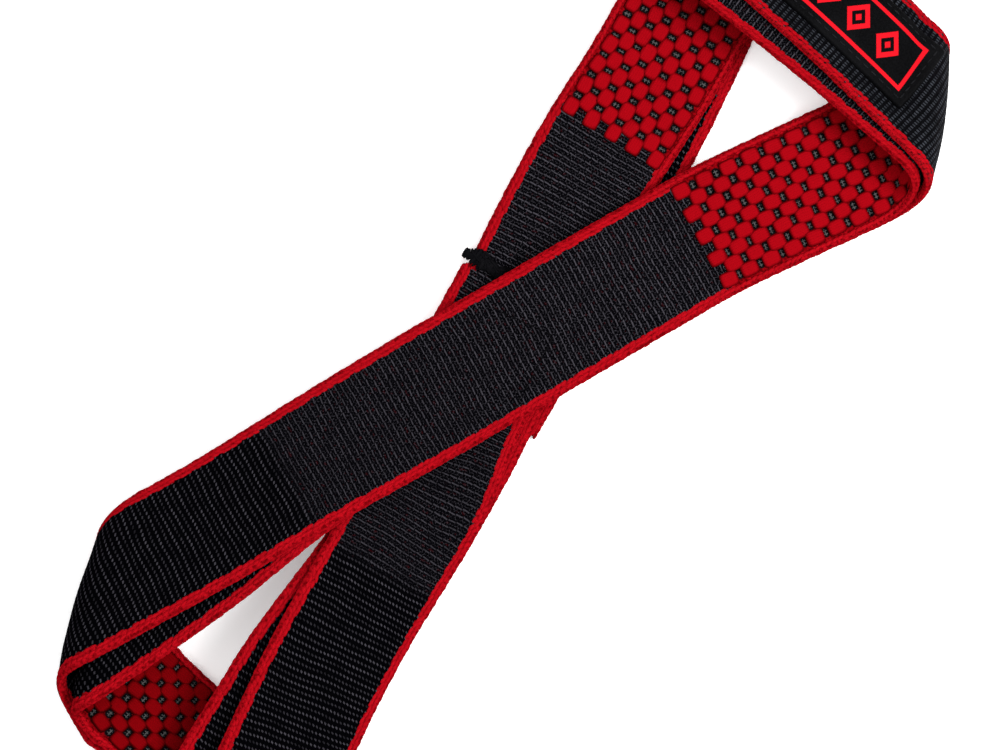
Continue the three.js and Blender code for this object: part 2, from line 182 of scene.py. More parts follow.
def set_back(loop, strand):
    shape = FOLDS[loop.way, strand]
    strand_z = loop.strand_z[strand]
    radius = (abs(loop.turn_hole - (strand_z - loop.tilt)) + abs(loop.turn_far - strand_z)) / 4
    nose = WIDTH * (shape.nose_corner + shape.nose_tip) / 2
    return shape.set_back * math.pi * (radius + nose) / 2


def strand_line(run, strand):
    loop = run.loop
    side = corner_side(loop, strand)
    outer = outer_of(loop)
    crease = math.radians((90 - outer.slope[strand] - loop.bow) / 2)
    beyond = (set_back(loop, strand) + TURN_WIDTH / 2 * math.sin(crease)) / math.cos(crease)
    half_span = loop.far_edge / 2 + beyond
    slope = math.radians(run.slope[strand])
    start = turn_knot(run, side * half_span * run.span[strand])[0]
    return start, complex(loop.way * math.cos(slope), side * math.sin(slope))


def crease_line(run, strand):
    """The line that a fold bends about, from corner to tip, and the way out from the crossing."""
    loop = run.loop
    outer = outer_of(loop)
    start, along = strand_line(outer, strand)
    inwards = turn_line(outer, strand)[1] * -corner_side(loop, strand)
    out = unit(along - inwards)
    back = set_back(loop, strand) + run.inset[strand] * WIDTH
    return (start - out * back, unit(along + inwards)), out


def turn_point(run, point):
    """A point of an end turn over a point in plan: level at the hole, bent towards the rim."""
    loop = run.loop
    centre = turn_knot(outer_of(loop), point.imag)[0]
    share = max(loop.way * (point.real - centre.real) / TURN_WIDTH + 0.5, 0.0)
    drop = loop.turn_far - loop.turn_hole
    slope = TURN_HOLLOW * drop * share ** (TURN_HOLLOW - 1) / TURN_WIDTH
    z = loop.turn_hole + drop * share**TURN_HOLLOW - loop.way * run.ply * PITCH * math.hypot(1, slope)
    return point.real, point.imag, z


def fold_rows(run, strand):
    """The rows of a fold from the strand to the end turn, each from port to starboard."""
    loop = run.loop
    shape = FOLDS[loop.way, strand]
    crease, out = crease_line(run, strand)
    hole_z = loop.strand_z[strand] + loop.way * run.ply * PITCH
    line, turn = strand_line(run, strand), turn_line(run, strand)
    outward = loop.way * corner_side(loop, strand)
    ends = []
    for sign in (1, -1):
        start = meet(crease, aside(line, sign * loop.strand_width / 2 * outward))
        ends.append((start, meet(crease, aside(turn, sign * TURN_WIDTH / 2 * loop.way))))
    leave, arrive = (abs(dot(way, crease[1]) / dot(way, out)) for way in (line[1], turn[1]))
    rows = []
    for step in range(FOLD_STEPS + 3):
        angle = clamp((step - 1) / FOLD_STEPS) * math.pi
        straight = step in (0, FOLD_STEPS + 2)
        row = []
        for share in COLUMNS:
            start = lerp(ends[0][0], ends[1][0], share)
            finish = lerp(ends[0][1], ends[1][1], share)
            middle = lerp(start, finish, angle / math.pi)
            tip_share = clamp((middle - ends[0][0]) / (ends[1][1] - ends[0][0]))
            nose = WIDTH * lerp(shape.nose_corner, shape.nose_tip, tip_share)
            strand_z = hole_z - loop.tilt * (1 - share)
            depth = abs(turn_point(run, crease[0] + crease[1] * middle)[2] - strand_z)
            length = 2 * nose + math.pi * depth / 2
            travelled = {0: 0.0, FOLD_STEPS + 2: length}.get(step, nose + depth * angle / 2)
            v = hermite(start, finish, leave * length, arrive * length, travelled / length)
            turn_z = turn_point(run, crease[0] + crease[1] * v)[2]
            radius = abs(turn_z - strand_z) / 2
            reach = 0 if straight else nose + radius * math.sin(angle)
            point = crease[0] + crease[1] * v + out * reach
            way = 1 if turn_z > strand_z else -1
            row.append((point.real, point.imag, (strand_z + turn_z) / 2 - way * radius * math.cos(angle)))
        rows.append(row if loop.way > 0 else row[::-1])
    return rows


def turn_rows(run):
    """The rows of an end turn between its two folds, running towards -Y."""
    limits = []
    for strand in "AB":
        crease, _ = crease_line(run, strand)
        side = corner_side(run.loop, strand)
        ends = []
        for offset in (TURN_WIDTH / 2, -TURN_WIDTH / 2):
            edge = aside(turn_line(run, strand), offset)
            ends.append(side * (edge[0] + edge[1] * meet(edge, crease)).imag)
        limits.append(side * min(ends))
    rows = []
    for share in (0.15, 0.5, 0.85):
        point, along = turn_knot(run, lerp(max(limits), min(limits), share))
        rows.append([turn_point(run, point + 1j * along * (0.5 - c) * TURN_WIDTH) for c in COLUMNS])
    return rows


def lower_lift(x):
    (high, _), (low, _) = HEIGHTS_A[:2]
    return smooth((x - low) / (high - low))


def leg_rows(knots, height_of):
    """The rows of a strand through a list of knots, each a point in plan and a heading."""
    rows = []
    for index, (start, finish) in enumerate(zip(knots, knots[1:])):
        chord = abs(finish[0] - start[0])
        steps = max(1, math.floor(chord / LEG_STEP + 0.5))
        last = steps if index == len(knots) - 2 else steps - 1
        for step in range(last + 1):
            t = step / steps
            centre = hermite(start[0], finish[0], start[1] * chord, finish[1] * chord, t)
            along = unit((start[0] - finish[0]) * (6 * t * t - 6 * t)
                         + start[1] * chord * (3 * t * t - 4 * t + 1)
                         + finish[1] * chord * (3 * t * t - 2 * t))
            width = lerp(WIDTH, LOWER.strand_width, lower_lift(centre.real))
            row = []
            for c in COLUMNS:
                point = centre + 1j * along * (0.5 - c) * width
                drop = LOWER_TILT * c * lower_lift(point.real)
                row.append((point.real, point.imag, height_of(point.real) - drop))
            rows.append(row)
    return rows


def gate_knot(run, strand):
    """Where the plain stretch of a strand ends, clear of the fold's slanting rows."""
    crease, _ = crease_line(run, strand)
    line = strand_line(run, strand)
    half = run.loop.strand_width / 2
    distance = min(meet(aside(line, offset), crease) for offset in (half, -half)) - 0.06 * WIDTH
    return line[0] + line[1] * distance, line[1]


def crossing_knot(strand, distance, slip=0.0):
    angle = math.radians(-STRAND_ANGLE_A if strand == "A" else STRAND_ANGLE_B)
    along = complex(math.cos(angle), math.sin(angle))
    middle = complex(0, 0 if strand == "A" else STRAND_OFFSET_B)
    return middle + along * distance + 1j * along * slip, along


def back(knot):
    return knot[0], -knot[1]


def whole_turn(run, first, second):
    return fold_rows(run, first) + turn_rows(run) + fold_rows(run, second)[::-1]


def band_course():
    """The band's stretches from its tail to its end: legs and turns by turns, each a list of rows."""
    low_a = lambda x: height_at(HEIGHTS_A, x)
    high_a = lambda x: low_a(x) + PITCH
    low_b = lambda x: height_at(HEIGHTS_B, x)
    high_b = lambda x: low_b(x) + PITCH
    in_a, out_a = back(crossing_knot("A", CROSSING_HALF)), back(crossing_knot("A", -CROSSING_HALF))
    in_b, out_b = crossing_knot("B", -CROSSING_HALF, SLIP_B), crossing_knot("B", CROSSING_HALF)
    end_b = [crossing_knot("B", GATHER_B), crossing_knot("B", BAND_END)]
    tail = crossing_knot("B", TAIL_START, TAIL_SLIP)
    return [
        leg_rows([tail, gate_knot(UPPER_OUTER, "B")], lambda x: FLOOR_PLY),
        whole_turn(UPPER_OUTER, "B", "A"),
        leg_rows([back(gate_knot(UPPER_OUTER, "A")), in_a, out_a, gate_knot(LOWER_INNER, "A")], low_a),
        whole_turn(LOWER_INNER, "A", "B"),
        leg_rows([back(gate_knot(LOWER_INNER, "B")), in_b, out_b, gate_knot(UPPER_INNER, "B")], low_b),
        whole_turn(UPPER_INNER, "B", "A"),
        leg_rows([back(gate_knot(UPPER_INNER, "A")), in_a, out_a, gate_knot(LOWER_OUTER, "A")], high_a),
        whole_turn(LOWER_OUTER, "A", "B"),
        leg_rows([back(gate_knot(LOWER_OUTER, "B")), in_b, *end_b], high_b),
    ]


def cubic(places, points, at):
    """Points at the given places, on a smooth cubic through points of known place."""
    h = np.diff(places)[:, None]
    rate = np.diff(points, axis=0) / h
    slope = np.empty_like(points)
    slope[1:-1] = (h[1:] * rate[:-1] + h[:-1] * rate[1:]) / (h[1:] + h[:-1])
    slope[0], slope[-1] = rate[0], rate[-1]
    i = np.clip(np.searchsorted(places, at, side="right") - 1, 0, len(places) - 2)
    t = ((at - places[i]) / (places[i + 1] - places[i]))[:, None]
    return hermite(points[i], points[i + 1], slope[i] * h[i], slope[i + 1] * h[i], t)


def rows_normals(rows):
    """The band's normal on the side that is up along the strands."""
    along = np.empty_like(rows)
    along[1:-1] = rows[2:] - rows[:-2]
    along[0], along[-1] = rows[1] - rows[0], rows[-1] - rows[-2]
    across = np.empty_like(rows)
    across[:, 1:-1] = rows[:, :-2] - rows[:, 2:]
    across[:, 0], across[:, -1] = rows[:, 0] - rows[:, 1], rows[:, -2] - rows[:, -1]
    normals = np.cross(along, across)
    return normals / np.linalg.norm(normals, axis=2, keepdims=True)


def yarn_lengths(rows, turning):
    """The webbing's own length at each point: one figure for a row on a leg, and by column round a
    turn, eased so that all columns leave it together."""
    steps = np.linalg.norm(np.diff(rows, axis=0), axis=2)
    lengths = np.zeros(rows.shape[:2])
    i = 0
    while i < len(rows) - 1:
        if not turning[i + 1]:
            lengths[i + 1] = lengths[i] + steps[i, 4]
            i += 1
            continue
        j = i + 1
        while turning[j]:
            j += 1
        run = np.cumsum(steps[i:j], axis=0)
        lengths[i + 1:j + 1] = lengths[i] + run / run[-1] * run[-1].mean()
        i = j
    return lengths


class Band:
    """The webbing's middle surface as a fine grid: rows of equal yarn length by columns across."""

    def __init__(self, row_step=1.5):
        stretches = band_course()
        coarse = np.array([row for stretch in stretches for row in stretch])
        turning = np.array([k % 2 == 1 for k, stretch in enumerate(stretches) for _ in stretch])
        # The group's place in the row frame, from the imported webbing's own corner
        half = THICK / 2
        normals = rows_normals(coarse)
        inner, lift = coarse[:, 1:-1], half * normals[:, 1:-1]
        faces = [coarse[:, [0, -1]], inner + lift, inner - lift]
        low = np.min([face.reshape(-1, 3).min(axis=0) for face in faces], axis=0)
        self.place = np.array(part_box("webbing")[0]) * 1000 - low
        lengths = yarn_lengths(coarse, turning)
        self.length = float(lengths[-1, 0])
        count = round(self.length / row_step)
        self.s = np.linspace(0, self.length, count + 1)
        columns = [cubic(lengths[:, j], coarse[:, j], self.s) for j in range(len(COLUMNS))]
        rim = [0, 0.1, 0.35, 0.75, SELVAGE_ROUND]
        middle = list(np.linspace(SELVAGE_ROUND, WIDTH - SELVAGE_ROUND, 23)[1:-1])
        self.t = np.array(rim + middle + [WIDTH - x for x in reversed(rim)])
        across = np.array(columns).reshape(len(COLUMNS), -1)
        fine = cubic(np.array(COLUMNS, float) * WIDTH, across, self.t)
        self.rows = fine.reshape(len(self.t), len(self.s), 3).transpose(1, 0, 2)
        self.normals = rows_normals(self.rows)
        bounds = np.cumsum([0] + [len(stretch) for stretch in stretches])
        self.stretches = [(float(lengths[a].mean()), float(lengths[b - 1].mean()))
                          for a, b in zip(bounds, bounds[1:])]

    def mixed(self, grid, s, t):
        i = np.clip(np.searchsorted(self.s, s, side="right") - 1, 0, len(self.s) - 2)
        j = np.clip(np.searchsorted(self.t, t, side="right") - 1, 0, len(self.t) - 2)
        u = ((s - self.s[i]) / (self.s[i + 1] - self.s[i]))[:, None]
        v = ((t - self.t[j]) / (self.t[j + 1] - self.t[j]))[:, None]
        near = grid[i, j] * (1 - v) + grid[i, j + 1] * v
        return near * (1 - u) + (grid[i + 1, j] * (1 - v) + grid[i + 1, j + 1] * v) * u

    def at(self, s, t, height):
        """Points at a yarn length, a place across and a height over the middle surface."""
        s, t = np.broadcast_arrays(np.asarray(s, float), np.asarray(t, float))
        height = np.broadcast_to(np.asarray(height, float), s.shape)
        inside = np.clip(t, 0, WIDTH)
        normal = self.mixed(self.normals, s, inside)
        normal /= np.linalg.norm(normal, axis=1, keepdims=True)
        points = self.mixed(self.rows, s, inside)
        points += (inside - t)[:, None] * self.axes(s, inside)[1]
        return points + normal * height[:, None]

    def axes(self, s, t):
        """Unit vectors along the yarn, towards port, and up from the face that is up on strands."""
        along = self.mixed(self.rows, s + 0.4, t) - self.mixed(self.rows, s - 0.4, t)
        along /= np.linalg.norm(along, axis=1, keepdims=True)
        normal = self.mixed(self.normals, s, t)
        port = np.cross(normal, along)
        port /= np.linalg.norm(port, axis=1, keepdims=True)
        return along, port, np.cross(along, port)

    def where(self, stretch, x):
        """The yarn length at which the middle of a leg passes x."""
        low, high = self.stretches[stretch]
        s = np.linspace(low, high, 800)
        middle = self.mixed(self.rows, s, np.full_like(s, WIDTH / 2))[:, 0]
        return float(s[np.argmin(np.abs(middle - x))])

    def metres(self, points):
        return (np.asarray(points) + self.place) / 1000


band = Band()
HALF = THICK / 2

# The band's stretches that the zones name, out of its legs and turns by turns from the tail
LABEL_TURN = 1
A_LOW = 2
B_LOW = 4
A_HIGH = 6
B_HIGH = 8

# The zones of the weave, as yarn lengths. The loops' outer faces have a finer weave.
GRIP_UPPER = (band.where(B_LOW, 66.0), band.where(A_HIGH, 62.5))
GRIP_LOWER = (band.where(A_LOW, -66.0), band.where(B_LOW, -66.0))
OUTER_ZONES = [
    (band.where(A_HIGH, -75.0), band.where(B_HIGH, -75.0)),
    (band.where(A_LOW, -75.0), band.where(B_LOW, -75.0)),
    (-20.0, band.where(A_LOW, 90.0)),
]
ZONE_EASE = 12.0
GRIP_SINK = 0.5
GRIP_CELL = 3.75
GRIP_EDGE = 2.9
GRIP_ROWS = 9
GRIP_ROW = (WIDTH - 2 * GRIP_EDGE) / GRIP_ROWS


# Shader maths
class Value:
    """A number in a finish's node tree. Expressions on it add Math nodes."""

    def __init__(self, finish, socket):
        self.finish = finish
        self.socket = socket

    def maths(self, operation, *others):
        return self.finish.maths(operation, self, *others)

    def __add__(self, other):
        return self.maths("ADD", other)

    def __sub__(self, other):
        return self.maths("SUBTRACT", other)

    def __mul__(self, other):
        return self.maths("MULTIPLY", other)

    def __truediv__(self, other):
        return self.maths("DIVIDE", other)

    def __rsub__(self, other):
        return self.finish.maths("SUBTRACT", other, self)

    __radd__ = __add__
    __rmul__ = __mul__

    def fract(self):
        return self.maths("FRACT")

    def floor(self):
        return self.maths("FLOOR")

    def absolute(self):
        return self.maths("ABSOLUTE")

    def sine(self):
        return self.maths("SINE")

    def smaller(self, other):
        return self.maths("MINIMUM", other)

    def larger(self, other):
        return self.maths("MAXIMUM", other)

    def rise(self, low, high):
        """0 below low, 1 above high and smooth between. With low over high it falls instead."""
        sockets = {"Value": self, "From Min": low, "From Max": high, "To Min": 0.0, "To Max": 1.0}
        if low > high:
            sockets |= {"From Min": high, "From Max": low, "To Min": 1.0, "To Max": 0.0}
        return self.finish.node("ShaderNodeMapRange", {"interpolation_type": "SMOOTHSTEP"}, sockets)

    def wave(self, period):
        """A hump from 0 to 1 and back in each period."""
        return (self * (math.pi / period)).sine().absolute()


class Finish:
    """A material and its node tree."""

    def __init__(self, name, roughness, specular):
        self.material = bpy.data.materials.new(name)
        self.material.use_nodes = True
        self.tree = self.material.node_tree
        self.shader = self.tree.nodes["Principled BSDF"]
        self.shader.inputs["Roughness"].default_value = roughness
        self.shader.inputs["Specular IOR Level"].default_value = specular

    def node(self, kind, settings=None, sockets=None, output=0):
        node = self.tree.nodes.new(kind)
        for key, value in (settings or {}).items():
            setattr(node, key, value)
        for key, value in (sockets or {}).items():
            self.feed(node.inputs[key], value)
        return Value(self, node.outputs[output])

    def feed(self, socket, value):
        if isinstance(value, Value):
            self.tree.links.new(value.socket, socket)
        else:
            socket.default_value = value

    def maths(self, operation, *values):
        return self.node("ShaderNodeMath", {"operation": operation}, dict(enumerate(values)))

    def mix(self, share, first, second):
        """A colour between two colours."""
        pair = [value if isinstance(value, Value) else (*value, 1.0) for value in (first, second)]
        sockets = {0: share, 6: pair[0], 7: pair[1]}
        return self.node("ShaderNodeMix", {"data_type": "RGBA"}, sockets, output=2)

    def cloud(self, scale, detail, vector):
        sockets = {"Scale": scale, "Detail": detail, "Vector": vector}
        return self.node("ShaderNodeTexNoise", None, sockets)

    def object_place(self):
        return self.node("ShaderNodeTexCoord", None, None, output="Object")

    def weave_place(self):
        """Yarn length and place across the webbing, in millimetres."""
        vector = self.node("ShaderNodeUVMap", {"uv_map": "weave"})
        return vector, self.axis(vector, 0), self.axis(vector, 1)

    def axis(self, vector, number):
        return self.node("ShaderNodeSeparateXYZ", None, {0: vector}, output=number)

    def attribute(self, name):
        return self.node("ShaderNodeAttribute", {"attribute_name": name}, None, output="Fac")

    def colour(self, value):
        self.feed(self.shader.inputs["Base Color"], value if isinstance(value, Value) else (*value, 1.0))

    def rough(self, value):
        self.feed(self.shader.inputs["Roughness"], value)

    def relief(self, height, distance):
        """Bump from a height of 0 to 1, distance in millimetres."""
        sockets = {"Height": height, "Distance": distance / 1000, "Strength": 1.0}
        bump = self.node("ShaderNodeBump", None, sockets)
        self.feed(self.shader.inputs["Normal"], bump)


# Finishes: the weave's pitch in millimetres, and the colours
WEAVE_PITCH = 1.9
BLACK_YARN = (0.0003, 0.0003, 0.0005)
BLACK_HIGH = (0.0019, 0.0017, 0.0027)
# Grey of the weft floats: the weave's own pattern, its lightness a painted sheen
WEFT_GREY_AND_SHEEN = (0.047, 0.044, 0.053)
RED_DARK = (0.05, 0.0003, 0.001)
# Selvage red: floats go from RED_SHADE to RED_YARN by painted shade; the woven edge mixes them at random
RED_SHADE = (0.09, 0.0006, 0.0014)
RED_YARN = (0.3, 0.0026, 0.0064)
# Lit tops of the nubs: painted light
RED_BRIGHT = (0.225, 0.0013, 0.0039)
# Darker copy of the nub red: painted shade for the lower grip, deep inside its loop
RED_SHADED = (0.135, 0.0007, 0.0019)
RED_GROUND = (0.2, 0.0011, 0.003)
# Dark roots and rims of the nubs: painted shade
NUB_ROOT = (0.035, 0.0003, 0.0008)
# Darker copy of NUB_ROOT: painted shade for the lower grip, deep inside its loop
NUB_ROOT_SHADED = (0.018, 0.0002, 0.0004)
WELL_LOW = (0.0004, 0.0004, 0.0006)
WELL_HIGH = (0.004, 0.004, 0.005)
WELL_FIBRE = (0.055, 0.055, 0.055)
LABEL_SIDE_GREY = (0.042, 0.046, 0.056)
RUBBER_LOW = (0.0009, 0.0009, 0.0011)
RUBBER_HIGH = (0.0022, 0.0022, 0.0026)
RUBBER_SMEAR = (0.006, 0.006, 0.007)
LABEL_RED = (0.5, 0.005, 0.011)
FLOOR_LOW = (0.86, 0.86, 0.86)
FLOOR_HIGH = (0.9, 0.9, 0.9)
CUT_END = ((0.004, 0.004, 0.005), (0.03, 0.029, 0.03))
SEWING_THREAD = ((0.0015, 0.0015, 0.002), (0.014, 0.014, 0.016))
TACK_THREAD = ((0.0004, 0.0004, 0.0006), (0.0052, 0.005, 0.006))


def red_edge(s, t, width):
    """1 in the red selvage, with the stepped inner border where its floats end."""
    edge = t.smaller(WIDTH - t)
    step = ((s / 4.7).fract() - 0.5).absolute().rise(0.1, 0.32) * 0.8
    return (edge + step).rise(width + 0.55, width + 0.35)


def weave_rows(s, t, drift, fine, pitch, thread, lean):
    """Rows of weft floats: the place within a row, which rows are odd, and the place in a float."""
    row = s / pitch + drift
    odd = (row.floor() * 0.5).fract() * 2
    float_place = (t / thread + odd * 0.5 + (fine - 0.5) * 0.3).fract()
    return (row + (float_place - 0.5) * lean + (fine - 0.5) * 0.08).fract(), odd, float_place


def with_red_edge(finish, s, t, fine, body, width):
    """A body colour with the selvage's red over it, to a width in millimetres."""
    red = finish.mix(fine.rise(0.3, 0.7), RED_SHADE, RED_YARN)
    return finish.mix(red_edge(s, t, width), body, red)


def strand_pattern(s, t, drift, fine, grain, worn):
    """Thin grey weft lines across the strand with small hooks between them, their grey a painted sheen."""
    place, odd, long_float = weave_rows(s, t, drift, fine, WEAVE_PITCH, 2.6, 0.12)
    line = (place - 0.5).absolute().rise(0.14, 0.05)
    long_line = line * (long_float - 0.5).absolute().rise(0.49, 0.4) * (0.2 + 0.4 * worn + 0.5 * grain)
    short_float = ((t / 1.15 + odd * 0.5 + (fine - 0.5) * 1.1).fract() - 0.5).absolute()
    between = place.smaller(1 - place)
    short_line = between.rise(0.14, 0.05) * short_float.rise(0.36, 0.2) * grain.rise(0.42, 0.62)
    hook = short_float.rise(0.17, 0.08) * (between - 0.24).absolute().rise(0.22, 0.12)
    hook = hook * grain.rise(0.5, 0.62)
    grey = long_line.larger(short_line * 0.55).larger(hook * 0.65)
    return line, grey, between


def loop_pattern(s, t, drift, fine, worn):
    """Rows of short slanting grey floats, in turn strong and weak, their grey a painted sheen."""
    place, odd, short_float = weave_rows(s, t, drift, fine, WEAVE_PITCH, 1.28, 0.36)
    line = (place - 0.5).absolute().rise(0.19, 0.08)
    dash = (short_float - 0.5).absolute().rise(0.38, 0.22)
    return line, line * dash * (0.16 + 0.3 * odd + 0.3 * worn)


def band_weave(name):
    """Black webbing. The loop attribute changes it from the strands' weave to the loops'."""
    finish = Finish(name, roughness=0.88, specular=0.0)
    vector, s, t = finish.weave_place()
    loop = finish.attribute("loop")
    drift = (finish.cloud(0.055, 2.0, vector) - 0.5) * 1.1
    fine = finish.cloud(0.9, 3.0, vector)
    grain = finish.cloud(2.4, 2.0, vector)
    worn = finish.cloud(0.2, 4.0, vector).rise(0.34, 0.62)
    strand_line, strand_grey, between = strand_pattern(s, t, drift, fine, grain, worn)
    loop_line, loop_grey = loop_pattern(s, t, drift, fine, worn)
    share = (loop + (fine - 0.5) * 0.5).rise(0.3, 0.7)
    line = strand_line + (loop_line - strand_line) * share
    # The weave shows more grey, a painted sheen on its weft, towards the label end
    strap_x = finish.axis(finish.object_place(), 0)
    strand_grey = strand_grey * (0.55 + 0.45 * strap_x.rise(-0.12, 0.06))
    grey = strand_grey + (loop_grey - strand_grey) * share
    body = finish.mix(grain.rise(0.35, 0.7), BLACK_YARN, BLACK_HIGH)
    fleck = between.rise(0.22, 0.05) * finish.cloud(0.55, 1.0, vector).rise(0.58, 0.68) * (1 - share)
    body = finish.mix(fleck * 0.22, body, RED_DARK)
    body = finish.mix(share * 0.55, body, BLACK_YARN)
    # Grey weft floats over the black: the weave's pattern, with its sheen painted in as grey
    body = finish.mix(grey, body, WEFT_GREY_AND_SHEEN)
    finish.colour(with_red_edge(finish, s, t, fine, body, 2.7))
    warp = (t / 2.4).wave(1.0)
    finish.relief((1 - line * 0.5) * (0.5 + 0.5 * warp) + grey * 0.3 + grain * 0.2, 0.3)
    return finish.material


def label_side_weave(name):
    """The outer face beside the label: slanting rows of small dots, each row half a dot along."""
    finish = Finish(name, roughness=0.75, specular=0.02)
    vector, s, t = finish.weave_place()
    fine = finish.cloud(0.9, 3.0, vector)
    place = s / WEAVE_PITCH + (fine - 0.5) * 0.1
    rib = place.fract()
    dotted = (rib - 0.5).absolute().rise(0.36, 0.2)
    dots = ((t / 0.9 + (place.floor() * 0.5).fract()).fract() - 0.5).absolute().rise(0.38, 0.2)
    worn = finish.cloud(0.25, 3.0, vector).rise(0.3, 0.7)
    grey = dotted * dots * 0.8 * (0.3 + 0.7 * worn) * (0.6 + 0.4 * fine)
    body = finish.mix(fine.rise(0.3, 0.7), BLACK_YARN, BLACK_HIGH)
    body = finish.mix(grey, body, LABEL_SIDE_GREY)
    finish.colour(with_red_edge(finish, s, t, fine, body, 1.6))
    finish.relief(dotted * (0.6 + 0.4 * dots) + fine * 0.2, 0.5)
    return finish.material


def grip_ground(name):
    """Ground between the nubs: dark red yarn, and small black wells with crossed grey fibres."""
    finish = Finish(name, roughness=0.9, specular=0.0)
    vector, s, t = finish.weave_place()
    fine = finish.cloud(1.2, 3.0, vector)
    cell_s = ((s - GRIP_UPPER[0]) / GRIP_CELL).fract() - 0.5 + (fine - 0.5) * 0.14
    cell_t = ((t - GRIP_EDGE) / GRIP_ROW).fract() - 0.5 + (fine - 0.5) * 0.14
    across_well, along_well = cell_t / 0.48, cell_s / 0.42
    well = (along_well * along_well + across_well * across_well).rise(1.05, 0.6)
    well = well * t.smaller(WIDTH - t).rise(GRIP_EDGE - 0.2, GRIP_EDGE + 0.3)
    crosswise = (cell_s - 0.02).absolute().rise(0.08, 0.03) * cell_t.absolute().rise(0.3, 0.24)
    bars = (cell_t.absolute() - 0.13).absolute().rise(0.07, 0.02) * cell_s.absolute().rise(0.21, 0.14)
    fibres = crosswise.larger(bars) * fine.rise(0.25, 0.5)
    black = finish.mix(fine.rise(0.3, 0.7), WELL_LOW, WELL_HIGH)
    black = finish.mix(fibres, black, WELL_FIBRE)
    red = finish.mix(fine.rise(0.3, 0.7), RED_DARK, RED_GROUND)
    body = finish.mix(well, red, black)
    finish.colour(with_red_edge(finish, s, t, fine, body, 1.9))
    finish.relief(fibres * 0.7 + fine * 0.3, 0.5)
    return finish.material


def red_thread(name, dark, bright, thread, soft_rim, square=False):
    """Red yarn of a nub or a selvage float: fine twisted filaments along it, and painted light and shade:
    lighter on its top, darker at its roots, and by soft_rim towards the rim of its top, which is oval,
    or square with round corners."""
    finish = Finish(name, roughness=0.8, specular=0.0)
    place = finish.object_place()
    tint = finish.attribute("tint")
    fine = finish.cloud(2600.0, 2.0, place)
    patch = finish.cloud(45.0, 2.0, place)
    blot = finish.cloud(420.0, 2.0, place)
    crown = finish.attribute("crown")
    side = finish.attribute("side")
    lie = finish.attribute("lie")
    over, beside = lie * lie, side * side
    if square:
        rim = (over * over + beside * beside).rise(0.0, 0.95)
    else:
        rim = (over + beside).rise(0.0, 1.35)
    filaments = (side * thread + crown * 0.6 + (fine - 0.5) * 0.7).wave(1.0)
    # Painted light and shade: lighter where the crown is high, darker at the roots and towards the rim
    shade = (crown * crown * 0.6 + 0.4) * (1 - rim * soft_rim) * (0.78 + 0.22 * filaments)
    shade = shade * (0.8 + 0.2 * tint)
    shade = shade * (0.9 + 0.2 * patch) * (0.65 + 0.7 * blot)
    finish.colour(finish.mix(shade.smaller(1.0), dark, bright))
    finish.rough(0.85 - 0.1 * filaments)
    finish.relief(filaments * 0.6 + fine * 0.6, 0.12)
    return finish.material


def dark_thread(name, low, high, gloss):
    """Black sewing thread with a tight twist, painted lighter on the crown of each stitch."""
    finish = Finish(name, roughness=0.7, specular=gloss)
    place = finish.object_place()
    tint = finish.attribute("tint")
    fine = finish.cloud(2200.0, 2.0, place)
    crown = finish.attribute("crown")
    twist = (finish.attribute("lie") * 2.2 + finish.attribute("side") * 1.1).wave(1.0)
    # Lighter where the crown is high: painted light, over the twist's pattern
    finish.colour(finish.mix((twist * 0.6 + crown * 0.4) * (0.5 + 0.5 * tint), low, high))
    finish.relief(twist * 0.7 + fine * 0.4, 0.12)
    return finish.material


# The label: its slab in millimetres, its place on the end turn, and the plain pattern on it
LABEL_LONG = 54.0
LABEL_WIDE = 25.6
LABEL_THICK = 1.3
LABEL_SHIFT = 4.4
LABEL_MARGIN = 0.2 * WIDTH
LABEL_CORNER = 1.5
LABEL_EDGE = 0.7
LABEL_SEAM_INSET = 2.2
LABEL_LINE_INSET = 4.6
LOZENGE_PITCH = 11.6
LOZENGE_HALF_LONG = 4.6
LOZENGE_HALF_WIDE = 6.2


def moulded_patch(name):
    """Black rubbery patch, with a thin red border line and three plain lozenges."""
    finish = Finish(name, roughness=0.6, specular=0.02)
    _, u, v = finish.weave_place()
    place = finish.object_place()
    grain = finish.cloud(1700.0, 3.0, place)
    smears = finish.cloud(60.0, 3.0, place)
    inset_u = LABEL_LONG / 2 - u.absolute()
    inset_v = LABEL_WIDE / 2 - v.absolute()
    border_line = (inset_u.smaller(inset_v) - LABEL_LINE_INSET).absolute().rise(0.75, 0.6)
    from_centre = ((u / LOZENGE_PITCH + 0.5).fract() - 0.5).absolute() * LOZENGE_PITCH
    three = u.absolute().rise(1.5 * LOZENGE_PITCH + 0.2, 1.5 * LOZENGE_PITCH)
    spread = from_centre / LOZENGE_HALF_LONG + v.absolute() / LOZENGE_HALF_WIDE
    lozenge = (spread - 0.78).absolute().rise(0.24, 0.19) * three
    core = spread.rise(0.28, 0.22) * three
    mark = border_line.larger(lozenge.larger(core))
    body = finish.mix(grain.rise(0.3, 0.7), RUBBER_LOW, RUBBER_HIGH)
    body = finish.mix(smears.rise(0.5, 0.75) * 0.3, body, RUBBER_SMEAR)
    finish.colour(finish.mix(mark, body, LABEL_RED))
    finish.rough(0.5 + 0.2 * smears - 0.1 * mark)
    finish.relief(mark * 0.8 + grain * 0.18, 0.3)
    return finish.material


def pale_floor(name):
    finish = Finish(name, roughness=0.6, specular=0.2)
    grain = finish.cloud(3.0, 4.0, finish.object_place())
    finish.colour(finish.mix(grain, FLOOR_LOW, FLOOR_HIGH))
    finish.shader.inputs["Emission Color"].default_value = (1, 1, 1, 1)
    finish.shader.inputs["Emission Strength"].default_value = 0.3
    return finish.material


